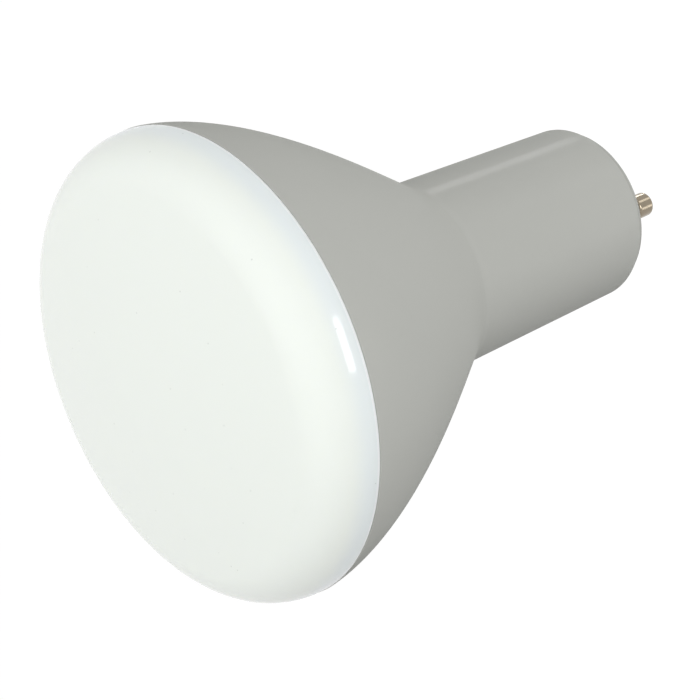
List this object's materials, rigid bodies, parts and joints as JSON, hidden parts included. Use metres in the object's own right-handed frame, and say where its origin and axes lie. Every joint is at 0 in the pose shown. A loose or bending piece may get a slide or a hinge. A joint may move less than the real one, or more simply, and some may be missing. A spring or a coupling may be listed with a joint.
{
  "type": "led flood bulb",
  "caption": "Reflector-shaped LED flood lamp: milky domed lens, grey bell and neck in one moulding, and a twist-lock base with headed contact pins.",
  "frame": {"origin": "centre of the base cap's outer face, midway between the contact pins", "axes": "+Z along the lamp's axis from the base to the lens, X through the contact pins"},
  "size_m": [0.0952, 0.0952, 0.1275],
  "materials": {
    "lens": "milky, softly glossy",
    "housing": "glossy moulded light grey",
    "base_cap": "moulded light grey",
    "contact_pin": "nickel plated",
    "heat_spreader": "drawn, plain",
    "thermal_pad": "soft, matt",
    "led_board": "white solder mask",
    "led_package": "yellow phosphor in a white frame",
    "screw": "zinc plated",
    "connector": "moulded off-white",
    "circuit_board": "green solder mask",
    "ferrite": "dark ceramic",
    "bobbin": "moulded black",
    "winding": "yellow tape over copper",
    "capacitor_can": "printed sleeve left plain",
    "film_capacitor": "dipped red",
    "fuse_resistor": "coated green",
    "varistor": "coated blue",
    "chip": "moulded black",
    "lead_black": "insulated",
    "lead_white": "insulated",
    "lead_red": "insulated"
  },
  "bodies": {
    "root": {"lens": "lens", "housing": "housing", "base_cap": "base_cap", "contact_pin_left": "contact_pin", "contact_pin_right": "contact_pin", "heat_spreader": "heat_spreader", "thermal_pad": "thermal_pad", "led_board": "led_board", "board_screws": "screw", "board_connector": "connector", "driver_board": "circuit_board", "transformer_core": "ferrite", "transformer_bobbin": "bobbin", "transformer_winding": "winding", "input_capacitor": "capacitor_can", "output_capacitor": "capacitor_can", "film_capacitor": "film_capacitor", "fuse_resistor": "fuse_resistor", "varistor": "varistor", "filter_inductor": "ferrite", "bridge_rectifier": "chip", "driver_chip": "chip", "output_diode": "chip", "lead_live": "lead_black", "lead_neutral": "lead_white", "lead_led_plus": "lead_red", "lead_led_minus": "lead_black", "led_01": "led_package", "led_02": "led_package", "led_03": "led_package", "led_04": "led_package", "led_05": "led_package", "led_06": "led_package", "led_07": "led_package", "led_08": "led_package", "led_09": "led_package", "led_10": "led_package", "led_11": "led_package", "led_12": "led_package", "led_13": "led_package", "led_14": "led_package", "led_15": "led_package", "led_16": "led_package", "led_17": "led_package", "led_18": "led_package"}
  },
  "joints": []
}
